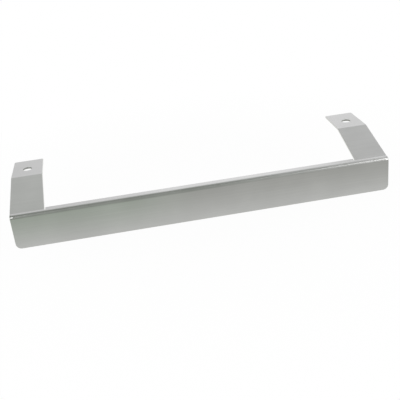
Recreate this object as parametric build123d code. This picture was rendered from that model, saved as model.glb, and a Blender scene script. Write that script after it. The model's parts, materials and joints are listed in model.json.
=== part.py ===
from build123d import *
import os
from math import radians, tan

# Refrigerator door handle, folded from one blank of sheet metal. Sizes in millimetres.
# X runs along the grip, Y from the front of the grip back to the door, Z up.
# The origin lies midway between the two screw holes, on the underside of the tabs.

# Sheet and folds
sheet_thickness = 1.5
fold_radius = 1.5  # on the inside of every fold

# Grip: a flap that hangs in front, and a flange behind its top edge
grip_length = 300.0
flap_height = 28.0
flap_corner_radius = 4.5
flange_depth = 8.3  # from the front of the flap to the free edge of the flange

# Legs: one at each end of the grip, sloping up from the flange and narrowing towards the tab
leg_width = 26.4  # at the foot
leg_land = 1.2  # flat strip between the front fold and the fold at the foot of a leg
leg_run = 43.7  # level distance from the fold at the foot to the fold at the tab
leg_slope = 16.0  # degrees above the flange

# Tabs: level, each with one screw hole
tab_length = 36.0
tab_width = 24.2  # at the rear edge
tab_corner_radius = 1.0
hole_diameter = 7.4
hole_setback = 20.0  # from the middle of the hole to the rear edge of the tab

# Relief slots: they part the legs from the ends of the flange
relief_width = 0.5

# Folds, as the upper and front face of the sheet shows them
outer_fold_radius = fold_radius + sheet_thickness
foot_fold_reach = fold_radius * tan(radians(leg_slope / 2))

# Levels
tab_top = sheet_thickness
flange_top = tab_top - leg_run * tan(radians(leg_slope))
flap_bottom = flange_top - flap_height

# Distances from the screw holes, to the front and to the rear
tab_end = hole_setback
tab_fold = tab_end - tab_length
foot_fold = tab_fold - leg_run
foot_fold_start = foot_fold - foot_fold_reach
flap_front = foot_fold_start - leg_land - outer_fold_radius
flange_end = flap_front + flange_depth

# Distances along the grip
hole_spacing = grip_length - tab_width
leg_gap = grip_length - 2 * leg_width
grip_end = grip_length / 2


def folded_sheet(corners, radii, width):
    """Fold a strip of sheet along the corners of its upper face, width wide and centred on X."""
    upper_face = FilletPolyline(*corners, radius=radii)
    section = make_face(offset(upper_face, sheet_thickness, side=Side.RIGHT))
    return extrude(Plane.YZ * section, width / 2, both=True)


def grip():
    """Flap and flange between the legs."""
    corners = [(flap_front, flap_bottom), (flap_front, flange_top), (flange_end, flange_top)]
    return folded_sheet(corners, [outer_fold_radius], leg_gap)


def leg():
    """Right end of the flap with its leg and tab, narrowed along the inner edge."""
    corners = [
        (flap_front, flap_bottom),
        (flap_front, flange_top),
        (foot_fold, flange_top),
        (tab_fold, tab_top),
        (tab_end, tab_top),
    ]
    strip = folded_sheet(corners, [outer_fold_radius, fold_radius, outer_fold_radius], leg_width)
    plan = Polyline(
        (grip_end, flap_front),
        (grip_end, tab_end),
        (grip_end - tab_width, tab_end),
        (leg_gap / 2, foot_fold_start),
        (leg_gap / 2, flap_front),
        close=True,
    )
    return Pos(grip_end - leg_width / 2) * strip & extrude(make_face(plan), grip_length, both=True)


def relief_slot():
    """Cutter for one slot, open to the rear, with its round end just before the fold of the leg."""
    round_end = foot_fold_start - relief_width / 2
    clear_end = flange_end + relief_width
    slot = SlotOverall(clear_end - round_end, relief_width, rotation=90)
    middle = (round_end + clear_end) / 2
    return extrude(Pos(0, middle, flange_top - sheet_thickness / 2) * slot, sheet_thickness, both=True)


def screw_hole():
    """Cutter for one plain hole through a tab."""
    return Pos(0, 0, sheet_thickness / 2) * Cylinder(hole_diameter / 2, 2 * sheet_thickness)


hole_places = GridLocations(hole_spacing, 0, 2, 1)
slot_places = GridLocations(leg_gap - relief_width, 0, 2, 1)

right_leg = leg()
handle = grip() + right_leg + mirror(right_leg, Plane.YZ)
handle -= [place * relief_slot() for place in slot_places]
handle -= [place * screw_hole() for place in hole_places]

flap_corners = handle.edges().filter_by(Axis.Y).group_by(Axis.Z)[0]
handle = fillet(flap_corners, flap_corner_radius)
tab_corners = handle.edges().filter_by(Axis.Z).group_by(Axis.Y)[-1]
handle = fillet(tab_corners, tab_corner_radius)

os.makedirs("parts", exist_ok=True)
export_step(handle, "parts/door_handle.step")
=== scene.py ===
import json
from math import radians, sqrt, tan

import bmesh
import bpy
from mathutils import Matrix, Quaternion, Vector


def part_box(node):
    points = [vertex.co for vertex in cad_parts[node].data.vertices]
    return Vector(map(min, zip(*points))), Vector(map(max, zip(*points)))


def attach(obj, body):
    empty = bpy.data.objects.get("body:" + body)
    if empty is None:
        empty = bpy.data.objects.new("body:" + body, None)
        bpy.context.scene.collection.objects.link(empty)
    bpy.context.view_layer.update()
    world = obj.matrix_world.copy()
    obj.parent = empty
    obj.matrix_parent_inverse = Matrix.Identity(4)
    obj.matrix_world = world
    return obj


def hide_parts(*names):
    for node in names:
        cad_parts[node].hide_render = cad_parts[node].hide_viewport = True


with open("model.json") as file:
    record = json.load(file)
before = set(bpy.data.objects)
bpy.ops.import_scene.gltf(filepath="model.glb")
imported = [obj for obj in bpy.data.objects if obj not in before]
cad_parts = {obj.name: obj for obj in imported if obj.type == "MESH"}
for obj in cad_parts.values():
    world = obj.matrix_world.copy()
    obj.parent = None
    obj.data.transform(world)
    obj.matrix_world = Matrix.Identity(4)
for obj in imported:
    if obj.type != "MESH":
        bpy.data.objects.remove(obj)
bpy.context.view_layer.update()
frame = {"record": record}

bl_info = {
    "name": "Refrigerator Door Handle",
    "version": (1, 0, 0),
    "blender": (4, 5, 0),
    "location": "View3D > Sidebar > Handle",
    "description": "Folds a refrigerator door handle from one sheet of satin stainless steel",
    "category": "Object",
}

# The frame is in metres: X along the grip, Y from the front of the flap back to the door, Z up.
# Its origin lies midway between the two screw holes, on the underside of the tabs.
MM = 0.001
SAME_PLACE = 0.001 * MM
HANDLE_NODE = "door_handle"
HANDLE_LOW, HANDLE_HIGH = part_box(HANDLE_NODE)
SCREW_HOLES = next(m for m in frame["record"]["mounts"] if m["name"] == "screw_holes")["dims"]

# How finely the sheet is divided
FRONT_FOLD_STEPS = 16
LEG_FOLD_STEPS = 6
FLAP_CORNER_STEPS = 16
SMALL_CORNER_STEPS = 8  # tabs and slots
EDGE_STEPS = 3
FOLD_END_CUTS = 10  # across each drawn-in end of the front fold
PANELS_PER_HALF = 4  # of the flap and the flange
HOLE_SIDES = 96

# Folding, punching and deburring
FLAT_ANGLE = radians(0.1)  # faces that meet at less lie flat
SHARP_ANGLE = radians(40)  # faces that meet at more share a sharp edge
LIP_WIDTH = 1.5  # outermost part of the drawn-in fold, in edge breaks
PUNCH_LENGTH = 4  # in thicknesses of the sheet

# Steel
NOISE_LOW, NOISE_HIGH = 0.3, 0.7  # range that a noise texture mostly fills
ROUGHNESS_SPREAD = 0.03  # of the satin face, to both sides of its mean
LINE_STRENGTH = 0.06
LINE_DEPTH = 0.02 * MM
EDGE_ROUGHNESS = (0.28, 0.38)
BORE_ROUGHNESS = (0.45, 0.60)

# Floor, with the painted shades that it glows in for the steel's reflections
FLOOR_WIDTH = 8.0
SHADOW_SHARE = 0.04
SHADOW_FADE = (0.12, 0.30)  # distances from the origin
NEAR_SHADE = "#EDEEEB"  # beside the flap
FRONT_LEFT_SHADE = "#B6C2B2"
FRONT_RIGHT_SHADE = "#BEBFB9"
FRONT_FADE = 0.07  # forwards from the flap, from the near shade to the front ones
FRONT_LEFT_TO_RIGHT = (-0.06, 0.0)  # along the grip, from the left shade to the right one

# Light tent: shades of its left and right part by their angle in degrees, from 0, level in front, through 90,
# straight above, to 180, level behind
LEFT_TENT = (
    (0, "#9BA098"), (50, "#939890"), (80, "#858982"), (95, "#848881"), (104, "#A3A8A1"),
    (113, "#C6C9C4"), (124, "#CBCEC9"), (138, "#EEEEEE"), (155, "#EEEEEE"),
)
RIGHT_TENT = (
    (0, "#CBCBC9"), (40, "#B5B5B3"), (75, "#999997"), (86, "#A8A8A6"), (93, "#FFFFFF"), (112, "#FFFFFF"),
    (119, "#B8B8B8"), (127, "#B4B4B4"), (138, "#FFFFFF"), (148, "#FFFFFF"), (155, "#ECECEC"),
)
TENT_DEGREES = 180
TENT_LEFT_TO_RIGHT = (0.22, 0.36)  # sideways share of a direction, from the left part to the right one
TENT_STRENGTH = (0.88, 1.34)  # at the far left and the far right
WHITE = (1.0, 1.0, 1.0, 1.0)

# Softboxes: name, place, width, height and power in watts. The front ones draw the lights on both ends of the
# fold, the rear one lightens the flange.
SOFTBOXES = (
    ("left_softbox", (-0.90, -0.70, 0.75), 0.7, 0.7, 4.5),
    ("right_softbox", (0.83, -0.78, 0.64), 0.5, 1.1, 3.5),
    ("rear_softbox", (0.28, 1.50, 0.65), 0.6, 0.6, 0.30),
)

# Camera
SENSOR_WIDTH = 36  # millimetres
NEAREST_SEEN = 0.01

# Sockets of a Mix node for colours
MIX_FACTOR, MIX_FIRST, MIX_SECOND = 0, 6, 7
MIX_RESULT = 2


def linear(hex_colour):
    """Linear RGBA of an sRGB colour written as #RRGGBB."""
    channels = [int(hex_colour[start:start + 2], 16) / 255 for start in (1, 3, 5)]
    return [c / 12.92 if c <= 0.04045 else ((c + 0.055) / 1.055) ** 2.4 for c in channels] + [1.0]


class HandleSizes(bpy.types.PropertyGroup):
    """Sizes of the folded sheet that the frame's box and screw holes don't give."""

    sheet_thickness: bpy.props.FloatProperty(
        name="Sheet thickness", description="Thickness of the steel sheet",
        default=1.5 * MM, min=0.5 * MM, precision=4, unit="LENGTH")
    fold_radius: bpy.props.FloatProperty(
        name="Fold radius", description="Radius on the inside of every fold",
        default=1.5 * MM, min=0.2 * MM, precision=4, unit="LENGTH")
    flange_depth: bpy.props.FloatProperty(
        name="Flange depth", description="From the front of the flap to the free edge of the flange",
        default=8.3 * MM, min=5.0 * MM, precision=4, unit="LENGTH")
    leg_width: bpy.props.FloatProperty(
        name="Leg width", description="Width of a leg at its foot; it narrows towards the tab",
        default=26.4 * MM, min=10.0 * MM, precision=4, unit="LENGTH")
    leg_land: bpy.props.FloatProperty(
        name="Leg land", description="Flat strip between the front fold and the fold at the foot of a leg",
        default=1.2 * MM, min=0.2 * MM, precision=4, unit="LENGTH")
    leg_run: bpy.props.FloatProperty(
        name="Leg run", description="Level distance from the fold at the foot to the fold at the tab",
        default=43.7 * MM, min=10.0 * MM, precision=4, unit="LENGTH")
    leg_slope: bpy.props.FloatProperty(
        name="Leg slope", description="Slope of the legs above the flange",
        default=radians(16.0), min=radians(5), max=radians(45), subtype="ANGLE")
    flap_corner_radius: bpy.props.FloatProperty(
        name="Flap corner radius", description="Radius of the two lower corners of the flap",
        default=4.5 * MM, min=0.5 * MM, precision=4, unit="LENGTH")
    tab_corner_radius: bpy.props.FloatProperty(
        name="Tab corner radius", description="Radius of the rear corners of the tabs",
        default=1.0 * MM, min=0.5 * MM, precision=4, unit="LENGTH")
    relief_width: bpy.props.FloatProperty(
        name="Relief width", description="Width of the slots that part the legs from the flange",
        default=0.5 * MM, min=0.2 * MM, precision=4, unit="LENGTH")
    fold_draw: bpy.props.FloatProperty(
        name="Fold draw", description="How far bending draws in the two ends of the front fold",
        default=0.22 * MM, min=0.01 * MM, precision=4, unit="LENGTH")
    fold_draw_reach: bpy.props.FloatProperty(
        name="Fold draw reach", description="How far along the front fold its ends are drawn in",
        default=2.8 * MM, min=0.5 * MM, precision=4, unit="LENGTH")
    edge_break: bpy.props.FloatProperty(
        name="Edge break", description="Rounding of the deburred cut edges",
        default=0.4 * MM, min=0.05 * MM, precision=4, unit="LENGTH")


class HandleFinish(bpy.types.PropertyGroup):
    """Colours and grain of the steel."""

    steel_dark: bpy.props.FloatVectorProperty(
        name="Steel, dark", description="Colour in the valleys of the grain",
        default=linear("#C0C0C0"), size=4, min=0, max=1, subtype="COLOR")
    steel_light: bpy.props.FloatVectorProperty(
        name="Steel, light", description="Colour on the ridges of the grain",
        default=linear("#CDCDCD"), size=4, min=0, max=1, subtype="COLOR")
    edge_colour: bpy.props.FloatVectorProperty(
        name="Cut edge", description="Colour of the bare cut edges",
        default=linear("#E4E4E1"), size=4, min=0, max=1, subtype="COLOR")
    # Bore colour: darker than the steel, as painted shade inside the screw holes
    bore_shade_colour: bpy.props.FloatVectorProperty(
        name="Bore", description="Colour of the torn walls of the punched holes",
        default=linear("#A6A7A4"), size=4, min=0, max=1, subtype="COLOR")
    grain_width: bpy.props.FloatProperty(
        name="Grain width", description="Width of a line of the satin grain",
        default=0.6 * MM, min=0.05 * MM, precision=4, unit="LENGTH")
    grain_length: bpy.props.FloatProperty(
        name="Grain length", description="Length of a line of the satin grain",
        default=120.0 * MM, min=1.0 * MM, precision=4, unit="LENGTH")
    haze_size: bpy.props.FloatProperty(
        name="Haze size", description="Size of the faint clouds that handling leaves on the steel",
        default=28.0 * MM, min=1.0 * MM, precision=4, unit="LENGTH")
    roughness: bpy.props.FloatProperty(
        name="Roughness", description="Mean roughness of the satin face",
        default=0.31, min=0, max=1, subtype="FACTOR")


class HandleStage(bpy.types.PropertyGroup):
    """Floor and camera of the studio."""

    floor_colour: bpy.props.FloatVectorProperty(
        name="Floor", description="Colour of the floor",
        default=linear("#F6F6F6"), size=4, min=0, max=1, subtype="COLOR")
    floor_reach: bpy.props.FloatProperty(
        name="Floor reach", description="How far the floor runs out in front of the flap",
        default=0.25, min=0.1, unit="LENGTH")
    camera_azimuth: bpy.props.FloatProperty(
        name="Azimuth", description="Turn of the camera round the handle",
        default=radians(-6.63), subtype="ANGLE")
    camera_elevation: bpy.props.FloatProperty(
        name="Elevation", description="Height of the camera above the horizon, as an angle",
        default=radians(24.62), subtype="ANGLE")
    camera_roll: bpy.props.FloatProperty(
        name="Roll", description="Tilt of the camera about its own axis",
        default=radians(-6.30), subtype="ANGLE")
    camera_distance: bpy.props.FloatProperty(
        name="Distance", description="From the camera to the point it aims at",
        default=0.5357, min=0.1, unit="LENGTH")
    camera_aim: bpy.props.FloatVectorProperty(
        name="Aim", description="Point on the flap that the camera aims at",
        default=(-4.66 * MM, HANDLE_LOW.y, -22.01 * MM), size=3, unit="LENGTH")
    camera_lens: bpy.props.FloatProperty(
        name="Lens", description=f"Focal length on a sensor {SENSOR_WIDTH} mm wide",
        default=61.70, min=10, unit="CAMERA")


class SheetPlaces:
    """Places on the upper and front face of the sheet, worked out from its sizes."""

    def __init__(self, sizes):
        # Along the grip, to both sides of its middle
        self.end = HANDLE_HIGH.x
        self.hole = SCREW_HOLES["spacing_x_mm"] * MM / 2
        self.slot_outside = self.end - sizes.leg_width
        self.slot_inside = self.slot_outside - sizes.relief_width
        self.tab_inside = 2 * self.hole - self.end

        # How far each fold reaches from its square corner
        self.outer_radius = sizes.fold_radius + sizes.sheet_thickness
        self.foot_reach = sizes.fold_radius * tan(sizes.leg_slope / 2)
        self.tab_reach = self.outer_radius * tan(sizes.leg_slope / 2)

        # From the front to the rear
        self.front = HANDLE_LOW.y
        self.fold_back = self.front + self.outer_radius
        self.land_back = self.fold_back + sizes.leg_land
        self.slot_tip = self.land_back - sizes.relief_width / 2
        self.foot = self.land_back + self.foot_reach
        self.flange_end = self.front + sizes.flange_depth
        self.tab_fold = self.foot + sizes.leg_run
        self.rear = HANDLE_HIGH.y

        # Upwards
        self.leg_rise = sizes.leg_run * tan(sizes.leg_slope)
        self.bottom = HANDLE_LOW.z
        self.tab_top = HANDLE_HIGH.z
        self.flange_top = self.tab_top - self.leg_rise
        self.fold_bottom = self.flange_top - self.outer_radius


def same(first, second):
    """Whether two coordinates are the same place."""
    return abs(first - second) < SAME_PLACE


def pick(kind, test):
    """Select only those parts of the edited mesh, of one kind, whose middle passes the test.

    The kind is VERT, EDGE or FACE.
    """
    bpy.ops.mesh.select_mode(type=kind)
    bpy.ops.mesh.select_all(action="DESELECT")
    data = bpy.context.edit_object.data
    mesh = bmesh.from_edit_mesh(data)
    middles = {
        "VERT": lambda: [(v, v.co) for v in mesh.verts],
        "EDGE": lambda: [(e, (e.verts[0].co + e.verts[1].co) / 2) for e in mesh.edges],
        "FACE": lambda: [(f, f.calc_center_median()) for f in mesh.faces],
    }[kind]()
    found = [part for part, middle in middles if test(middle)]
    if not found:
        raise RuntimeError("no part of the sheet is at the place that was picked")
    for part in found:
        part.select_set(True)
    mesh.select_flush_mode()
    bmesh.update_edit_mesh(data)


def extrude(back, up=0.0):
    """Extrude the selected edges and move them back and up."""
    bpy.ops.mesh.extrude_region_move(TRANSFORM_OT_translate={"value": (0, back, up)})


def cut_across(x):
    """Cut the selected faces straight across the grip."""
    bpy.ops.mesh.bisect(plane_co=(x, 0, 0), plane_no=(1, 0, 0))


def round_off(kind, reach, steps):
    """Round the selected edges (EDGES) or corners (VERTICES) to an arc that starts at the given reach."""
    bpy.ops.mesh.bevel(offset=reach, segments=steps, profile=0.5, affect=kind, clamp_overlap=False)


def apply_modifier(piece, kind, **settings):
    """Finish a piece with one modifier."""
    modifier = piece.modifiers.new(kind.title(), kind)
    for name, value in settings.items():
        setattr(modifier, name, value)
    bpy.context.view_layer.objects.active = piece
    bpy.ops.object.modifier_apply(modifier=modifier.name)


def add_node(tree, kind, inputs=None, **settings):
    """Add a node with its settings; an input is a value or the socket that feeds it."""
    node = tree.nodes.new(kind)
    for name, value in settings.items():
        setattr(node, name, value)
    for socket, value in (inputs or {}).items():
        if isinstance(value, bpy.types.NodeSocket):
            tree.links.new(value, node.inputs[socket])
        else:
            node.inputs[socket].default_value = value
    return node


def bare_steel(name):
    """New material for bare steel, and its shader."""
    material = bpy.data.materials.new(name)
    material.use_nodes = True
    shader = material.node_tree.nodes["Principled BSDF"]
    shader.inputs["Metallic"].default_value = 1.0
    return material, shader


def satin_stainless_steel(finish):
    """Cold-rolled stainless sheet, ground with a fine belt along the grip before it was cut and folded.

    The eye sees a soft grey metal: reflections melt into wide bands, and fine lines run along the grip.
    """
    material, shader = bare_steel("satin_stainless_steel")
    tree = material.node_tree
    place = add_node(tree, "ShaderNodeTexCoord").outputs["Object"]
    # Real belt lines are about 0.1 mm wide. They are drawn coarser, so that they show.
    along = add_node(tree, "ShaderNodeMapping", {
        "Vector": place,
        "Scale": (1 / finish.grain_length, 1 / finish.grain_width, 1 / finish.grain_width),
    })
    grain = add_node(tree, "ShaderNodeTexNoise", {
        "Vector": along.outputs["Vector"], "Scale": 1.0, "Detail": 4.0, "Roughness": 0.6,
    })
    haze = add_node(tree, "ShaderNodeTexNoise", {
        "Vector": place, "Scale": 1 / finish.haze_size, "Detail": 2.0, "Roughness": 0.5,
    })
    both = add_node(tree, "ShaderNodeMath", {
        0: grain.outputs["Fac"], 1: haze.outputs["Fac"],
    }, operation="ADD")
    shade = add_node(tree, "ShaderNodeMapRange", {
        "Value": both.outputs["Value"], "From Min": 2 * NOISE_LOW, "From Max": 2 * NOISE_HIGH,
    })
    tone = add_node(tree, "ShaderNodeValToRGB", {"Fac": shade.outputs["Result"]})
    tone.color_ramp.elements[0].color = finish.steel_dark
    tone.color_ramp.elements[1].color = finish.steel_light
    gloss = add_node(tree, "ShaderNodeMapRange", {
        "Value": both.outputs["Value"], "From Min": 2 * NOISE_LOW, "From Max": 2 * NOISE_HIGH,
        "To Min": finish.roughness - ROUGHNESS_SPREAD, "To Max": finish.roughness + ROUGHNESS_SPREAD,
    })
    lines = add_node(tree, "ShaderNodeBump", {
        "Height": grain.outputs["Fac"], "Strength": LINE_STRENGTH, "Distance": LINE_DEPTH,
    })
    tree.links.new(tone.outputs["Color"], shader.inputs["Base Color"])
    tree.links.new(gloss.outputs["Result"], shader.inputs["Roughness"])
    tree.links.new(lines.outputs["Normal"], shader.inputs["Normal"])
    return material


def cut_stainless_steel(name, colour, roughness, grit_size):
    """The same steel where the blank was cut, without the belt's grain.

    Sheared rims were burnished by deburring, and the eye sees thin bright lines. The walls of the punched
    holes are torn and dull, and their darker colour is painted shade inside the holes.
    """
    material, shader = bare_steel(name)
    shader.inputs["Base Color"].default_value = colour
    tree = material.node_tree
    smooth, rough = roughness
    grit = add_node(tree, "ShaderNodeTexNoise", {
        "Vector": add_node(tree, "ShaderNodeTexCoord").outputs["Object"],
        "Scale": 1 / grit_size, "Detail": 3.0, "Roughness": 0.6,
    })
    gloss = add_node(tree, "ShaderNodeMapRange", {
        "Value": grit.outputs["Fac"], "From Min": NOISE_LOW, "From Max": NOISE_HIGH,
        "To Min": smooth, "To Max": rough,
    })
    tree.links.new(gloss.outputs["Result"], shader.inputs["Roughness"])
    return material


def add_flap(places):
    """Add the flap as a plain plane."""
    bpy.ops.object.select_all(action="DESELECT")
    bpy.ops.mesh.primitive_plane_add(
        size=1, location=(0, places.front, (places.bottom + places.flange_top) / 2),
        rotation=(radians(90), 0, 0))
    flap = bpy.context.object
    flap.scale = (2 * places.end, places.flange_top - places.bottom, 1)
    bpy.ops.object.transform_apply(location=True, rotation=True, scale=True)
    return flap


def extrude_flange_and_legs(sizes, places):
    """Extrude the flange and the legs from the top of the flap, with square corners."""
    for x in (-places.slot_outside, -places.slot_inside, places.slot_inside, places.slot_outside):
        bpy.ops.mesh.select_all(action="SELECT")
        cut_across(x)
    pick("EDGE", lambda p: same(p.z, places.flange_top))
    extrude(places.slot_tip - places.front)
    pick("EDGE", lambda p: same(p.y, places.slot_tip) and abs(p.x) < places.slot_inside)
    extrude(places.flange_end - places.slot_tip)
    pick("EDGE", lambda p: same(p.y, places.slot_tip) and abs(p.x) > places.slot_outside)
    extrude(places.foot - places.slot_tip)
    extrude(sizes.leg_run, places.leg_rise)
    extrude(places.rear - places.tab_fold)
    bpy.ops.mesh.select_all(action="SELECT")
    bpy.ops.mesh.dissolve_limited(angle_limit=FLAT_ANGLE)


def narrow_legs(places):
    """Narrow the legs and tabs towards the rear, along one straight inner edge."""
    narrowing = (places.tab_inside - places.slot_outside) / (places.rear - places.foot)
    for y in (places.tab_fold, places.rear):
        for side in (-1, 1):
            pick("VERT", lambda p: same(p.y, y) and same(p.x, side * places.slot_outside))
            bpy.ops.transform.translate(value=(side * narrowing * (y - places.foot), 0, 0))


def round_folds(places):
    """Round the front fold and the folds at the foot and at the tab of each leg."""
    folds = (
        (places.front, places.flange_top, places.outer_radius, FRONT_FOLD_STEPS),
        (places.foot, places.flange_top, places.foot_reach, LEG_FOLD_STEPS),
        (places.tab_fold, places.tab_top, places.tab_reach, LEG_FOLD_STEPS),
    )
    for y, z, reach, steps in folds:
        pick("EDGE", lambda p: same(p.y, y) and same(p.z, z))
        round_off("EDGES", reach, steps)


def draw_in_fold_ends(sizes, places):
    """Draw in the two ends of the front fold, as bending leaves them."""
    diagonal = sqrt(0.5)
    crown_y = places.fold_back - places.outer_radius * diagonal
    crown_z = places.fold_bottom + places.outer_radius * diagonal
    inwards = sizes.fold_draw * diagonal
    lip = LIP_WIDTH * sizes.edge_break
    fade = sizes.fold_draw_reach - lip
    for side in (-1, 1):
        for step in range(FOLD_END_CUTS + 1):
            pick("FACE", lambda p: (
                places.front < p.y < places.fold_back and places.fold_bottom < p.z < places.flange_top))
            cut_across(side * (places.end - lip - fade * step / FOLD_END_CUTS))
        pick("VERT", lambda p: (
            side * p.x > places.end - lip - SAME_PLACE and same(p.y, crown_y) and same(p.z, crown_z)))
        bpy.ops.transform.translate(
            value=(0, inwards, -inwards), use_proportional_edit=True, proportional_edit_falloff="SMOOTH",
            proportional_size=fade, use_proportional_connected=True)


def round_corners(sizes, places):
    """Round the lower corners of the flap, the rear corners of the tabs and the ends of the slots."""
    corners = (
        (lambda p: same(p.z, places.bottom), sizes.flap_corner_radius, FLAP_CORNER_STEPS),
        (lambda p: same(p.y, places.rear), sizes.tab_corner_radius, SMALL_CORNER_STEPS),
        (lambda p: same(p.y, places.slot_tip), sizes.relief_width / 2, SMALL_CORNER_STEPS),
    )
    for test, radius, steps in corners:
        pick("VERT", test)
        round_off("VERTICES", radius, steps)


def cut_panels(sizes, places):
    """Cut across the flap and the flange, so that no face runs the whole length of the grip."""
    margin = 2 * sizes.flap_corner_radius
    panel = (places.slot_inside - margin) / PANELS_PER_HALF
    panel_ends = [panel * step for step in range(-PANELS_PER_HALF, PANELS_PER_HALF + 1)]
    for x in (margin - places.end, places.end - margin, *panel_ends):
        pick("FACE", lambda p: (
            p.z < places.flange_top + SAME_PLACE
            and (p.y < places.land_back or abs(p.x) < places.slot_inside)))
        cut_across(x)
    bpy.ops.mesh.select_all(action="SELECT")
    bpy.ops.mesh.remove_doubles(threshold=SAME_PLACE)


def punch_hole(handle, x, length, bore):
    """Punch one screw hole through a tab."""
    bpy.ops.mesh.primitive_cylinder_add(
        vertices=HOLE_SIDES, radius=SCREW_HOLES["hole_r_mm"] * MM, depth=length, location=(x, 0, 0))
    punch = bpy.context.object
    punch.data.materials.append(bore)
    apply_modifier(
        handle, "BOOLEAN", operation="DIFFERENCE", object=punch, solver="EXACT", material_mode="TRANSFER")
    bpy.data.objects.remove(punch)


def deburr(handle, edge_break):
    """Round the sharp edges a little, and let the faces shade smoothly into them."""
    apply_modifier(
        handle, "BEVEL", width=edge_break, segments=EDGE_STEPS, limit_method="ANGLE",
        angle_limit=SHARP_ANGLE, use_clamp_overlap=False)
    bpy.ops.object.select_all(action="DESELECT")
    handle.select_set(True)
    bpy.ops.object.shade_smooth()
    apply_modifier(handle, "WEIGHTED_NORMAL", mode="FACE_AREA", weight=100)
    # The many-sided flat faces, split evenly
    apply_modifier(
        handle, "TRIANGULATE", quad_method="BEAUTY", ngon_method="BEAUTY", min_vertices=5,
        keep_custom_normals=True)


class HANDLE_OT_folded_sheet(bpy.types.Operator):
    """Fold the handle from one sheet: flap, flange, two legs and two tabs with their screw holes"""

    bl_idname = "handle.folded_sheet"
    bl_label = "Folded Sheet"

    def execute(self, context):
        sizes = context.scene.handle_sizes
        finish = context.scene.handle_finish
        places = SheetPlaces(sizes)
        steel = satin_stainless_steel(finish)
        edge = cut_stainless_steel(
            "sheared_stainless_edge", finish.edge_colour, EDGE_ROUGHNESS, finish.grain_width)
        # The bore's darker colour is painted shade inside the holes; its torn walls are also rougher
        bore = cut_stainless_steel(
            "punched_bore_painted_shade", finish.bore_shade_colour, BORE_ROUGHNESS, finish.grain_width)

        # The upper and front face of the sheet
        handle = add_flap(places)
        handle.name = "folded_handle"
        handle.data.materials.append(steel)
        handle.data.materials.append(edge)
        bpy.ops.object.mode_set(mode="EDIT")
        extrude_flange_and_legs(sizes, places)
        narrow_legs(places)
        round_folds(places)
        draw_in_fold_ends(sizes, places)
        round_corners(sizes, places)
        cut_panels(sizes, places)
        bpy.ops.object.mode_set(mode="OBJECT")

        # The thickness, with bare steel on the cut rims, and then the holes and the edges
        apply_modifier(
            handle, "SOLIDIFY", thickness=sizes.sheet_thickness, offset=-1, use_even_offset=True,
            use_quality_normals=True, material_offset_rim=1)
        for x in (-places.hole, places.hole):
            punch_hole(handle, x, PUNCH_LENGTH * sizes.sheet_thickness, bore)
        deburr(handle, sizes.edge_break)

        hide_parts(HANDLE_NODE)
        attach(handle, "root")
        return {"FINISHED"}


def white_paper_and_painted_reflection(colour):
    """Matt white paper of the floor.

    The eye sees plain white, with a faint shadow close round the handle. For the steel the paper glows in
    painted
    shades that it reflects: pale near the flap and light grey in front of it, slightly green on the left.
    """
    material = bpy.data.materials.new("white_paper_and_painted_reflection")
    material.use_nodes = True
    tree = material.node_tree
    tree.nodes.clear()
    place = add_node(tree, "ShaderNodeNewGeometry").outputs["Position"]
    spot = add_node(tree, "ShaderNodeSeparateXYZ", {"Vector": place})

    # Painted shades by place, which the steel reflects; white for the camera
    to_right = add_node(tree, "ShaderNodeMapRange", {
        "Value": spot.outputs["X"],
        "From Min": FRONT_LEFT_TO_RIGHT[0], "From Max": FRONT_LEFT_TO_RIGHT[1],
    })
    in_front = add_node(tree, "ShaderNodeMix", {
        MIX_FACTOR: to_right.outputs["Result"],
        MIX_FIRST: linear(FRONT_LEFT_SHADE), MIX_SECOND: linear(FRONT_RIGHT_SHADE),
    }, data_type="RGBA")
    to_flap = add_node(tree, "ShaderNodeMapRange", {
        "Value": spot.outputs["Y"], "From Min": HANDLE_LOW.y - FRONT_FADE, "From Max": HANDLE_LOW.y,
    })
    mirrored = add_node(tree, "ShaderNodeMix", {
        MIX_FACTOR: to_flap.outputs["Result"],
        MIX_FIRST: in_front.outputs[MIX_RESULT], MIX_SECOND: linear(NEAR_SHADE),
    }, data_type="RGBA")
    rays = add_node(tree, "ShaderNodeLightPath")
    shade = add_node(tree, "ShaderNodeMix", {
        MIX_FACTOR: rays.outputs["Is Camera Ray"],
        MIX_FIRST: mirrored.outputs[MIX_RESULT], MIX_SECOND: WHITE,
    }, data_type="RGBA")

    # All but the share of shadow shines by itself, for the rays that see the paper
    camera_or_glossy = add_node(tree, "ShaderNodeMath", {
        0: rays.outputs["Is Camera Ray"], 1: rays.outputs["Is Glossy Ray"],
    }, operation="MAXIMUM")
    seen = add_node(tree, "ShaderNodeMath", {
        0: camera_or_glossy.outputs["Value"], 1: rays.outputs["Is Transmission Ray"],
    }, operation="MAXIMUM")
    distance = add_node(tree, "ShaderNodeVectorMath", {0: place}, operation="LENGTH")
    unshaded = add_node(tree, "ShaderNodeMapRange", {
        "Value": distance.outputs["Value"], "From Min": SHADOW_FADE[0], "From Max": SHADOW_FADE[1],
        "To Min": 1 - SHADOW_SHARE, "To Max": 1.0,
    })
    share = add_node(tree, "ShaderNodeMath", {
        0: seen.outputs["Value"], 1: unshaded.outputs["Result"],
    }, operation="MULTIPLY")
    matt = add_node(tree, "ShaderNodeBsdfDiffuse", {"Color": colour})
    glow = add_node(tree, "ShaderNodeEmission", {"Color": shade.outputs[MIX_RESULT]})
    surface = add_node(tree, "ShaderNodeMixShader", {
        0: share.outputs["Value"], 1: matt.outputs["BSDF"], 2: glow.outputs["Emission"],
    })
    add_node(tree, "ShaderNodeOutputMaterial", {"Surface": surface.outputs["Shader"]})
    return material


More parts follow.
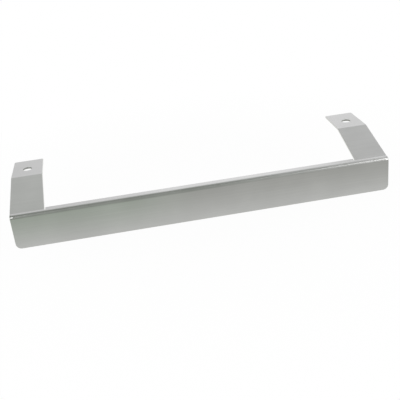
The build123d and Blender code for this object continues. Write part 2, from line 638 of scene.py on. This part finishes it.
def hang_light_tent(world):
    """Hang a light tent round the handle: white behind it, dim where the camera stands."""
    world.use_nodes = True
    tree = world.node_tree
    tree.nodes.clear()
    way = add_node(tree, "ShaderNodeSeparateXYZ", {
        "Vector": add_node(tree, "ShaderNodeTexCoord").outputs["Generated"],
    })
    forwards = add_node(tree, "ShaderNodeMath", {0: way.outputs["Y"], 1: -1.0}, operation="MULTIPLY")
    angle = add_node(tree, "ShaderNodeMath", {
        0: way.outputs["Z"], 1: forwards.outputs["Value"],
    }, operation="ARCTAN2")
    turn = add_node(tree, "ShaderNodeMapRange", {
        "Value": angle.outputs["Value"], "From Min": 0.0, "From Max": radians(TENT_DEGREES),
    })
    parts = []
    for shades in (LEFT_TENT, RIGHT_TENT):
        part = add_node(tree, "ShaderNodeValToRGB", {"Fac": turn.outputs["Result"]})
        ramp = part.color_ramp
        while len(ramp.elements) < len(shades):
            ramp.elements.new(1.0)
        for element, (degrees, shade) in zip(ramp.elements, shades):
            element.position = degrees / TENT_DEGREES
            element.color = linear(shade)
        parts.append(part.outputs["Color"])
    to_right = add_node(tree, "ShaderNodeMapRange", {
        "Value": way.outputs["X"],
        "From Min": TENT_LEFT_TO_RIGHT[0], "From Max": TENT_LEFT_TO_RIGHT[1],
    })
    cloth = add_node(tree, "ShaderNodeMix", {
        MIX_FACTOR: to_right.outputs["Result"], MIX_FIRST: parts[0], MIX_SECOND: parts[1],
    }, data_type="RGBA")
    strength = add_node(tree, "ShaderNodeMapRange", {
        "Value": way.outputs["X"], "From Min": -1.0, "From Max": 1.0,
        "To Min": TENT_STRENGTH[0], "To Max": TENT_STRENGTH[1],
    })
    tent = add_node(tree, "ShaderNodeBackground", {
        "Color": cloth.outputs[MIX_RESULT], "Strength": strength.outputs["Result"],
    })
    backdrop = add_node(tree, "ShaderNodeBackground", {"Color": WHITE, "Strength": 1.0})
    rays = add_node(tree, "ShaderNodeLightPath")
    surface = add_node(tree, "ShaderNodeMixShader", {
        0: rays.outputs["Is Camera Ray"], 1: tent.outputs["Background"], 2: backdrop.outputs["Background"],
    })
    add_node(tree, "ShaderNodeOutputWorld", {"Surface": surface.outputs["Shader"]})


def add_floor(stage):
    """Add the floor; it ends just outside the camera's view, before the dim front of the tent."""
    bpy.ops.object.select_all(action="DESELECT")
    bpy.ops.mesh.primitive_plane_add(
        size=FLOOR_WIDTH,
        location=(0, HANDLE_LOW.y - stage.floor_reach + FLOOR_WIDTH / 2, HANDLE_LOW.z))
    floor = bpy.context.object
    floor.name = "floor"
    floor.data.materials.append(white_paper_and_painted_reflection(stage.floor_colour))


def add_softbox(name, place, width, height, power):
    """Add a softbox that faces the origin."""
    turned = Vector(place).to_track_quat("Z", "Y")
    bpy.ops.object.light_add(type="AREA", location=place, rotation=turned.to_euler())
    softbox = bpy.context.object
    softbox.name = name
    softbox.data.shape = "RECTANGLE"
    softbox.data.size = width
    softbox.data.size_y = height
    softbox.data.energy = power


def add_camera(stage):
    """Add the camera, aimed at the flap."""
    sideways = Quaternion((0, 0, 1), stage.camera_azimuth)
    upwards = Quaternion((1, 0, 0), -stage.camera_elevation)
    roll = Quaternion((0, 0, 1), stage.camera_roll)
    back = sideways @ upwards @ Vector((0, -1, 0))
    turned = (-back).to_track_quat("-Z", "Y") @ roll
    bpy.ops.object.camera_add(
        location=Vector(stage.camera_aim) + stage.camera_distance * back, rotation=turned.to_euler())
    camera = bpy.context.object
    camera.data.sensor_width = SENSOR_WIDTH
    camera.data.lens = stage.camera_lens
    camera.data.clip_start = NEAREST_SEEN
    return camera


class HANDLE_OT_stage(bpy.types.Operator):
    """Set up the floor, the soft light and the camera"""

    bl_idname = "handle.stage"
    bl_label = "Stage"

    def execute(self, context):
        scene = context.scene
        scene.view_settings.view_transform = "Standard"
        add_floor(scene.handle_stage)
        scene.world = scene.world or bpy.data.worlds.new("light_tent")
        hang_light_tent(scene.world)
        for softbox in SOFTBOXES:
            add_softbox(*softbox)
        scene.camera = add_camera(scene.handle_stage)
        return {"FINISHED"}


class VIEW3D_PT_handle(bpy.types.Panel):
    """Sizes, colours and steps of the handle"""

    bl_label = "Refrigerator Door Handle"
    bl_space_type = "VIEW_3D"
    bl_region_type = "UI"
    bl_category = "Handle"

    def draw(self, context):
        for group in (context.scene.handle_sizes, context.scene.handle_finish, context.scene.handle_stage):
            column = self.layout.column()
            for name in group.__annotations__:
                column.prop(group, name)
        self.layout.operator(HANDLE_OT_folded_sheet.bl_idname)
        self.layout.operator(HANDLE_OT_stage.bl_idname)


CLASSES = (HandleSizes, HandleFinish, HandleStage, HANDLE_OT_folded_sheet, HANDLE_OT_stage, VIEW3D_PT_handle)


def register():
    for item in CLASSES:
        bpy.utils.register_class(item)
    bpy.types.Scene.handle_sizes = bpy.props.PointerProperty(type=HandleSizes)
    bpy.types.Scene.handle_finish = bpy.props.PointerProperty(type=HandleFinish)
    bpy.types.Scene.handle_stage = bpy.props.PointerProperty(type=HandleStage)


def unregister():
    del bpy.types.Scene.handle_stage
    del bpy.types.Scene.handle_finish
    del bpy.types.Scene.handle_sizes
    for item in reversed(CLASSES):
        bpy.utils.unregister_class(item)


def main():
    """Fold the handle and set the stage."""
    register()
    bpy.ops.handle.folded_sheet()
    bpy.ops.handle.stage()


if __name__ == "__main__":
    main()
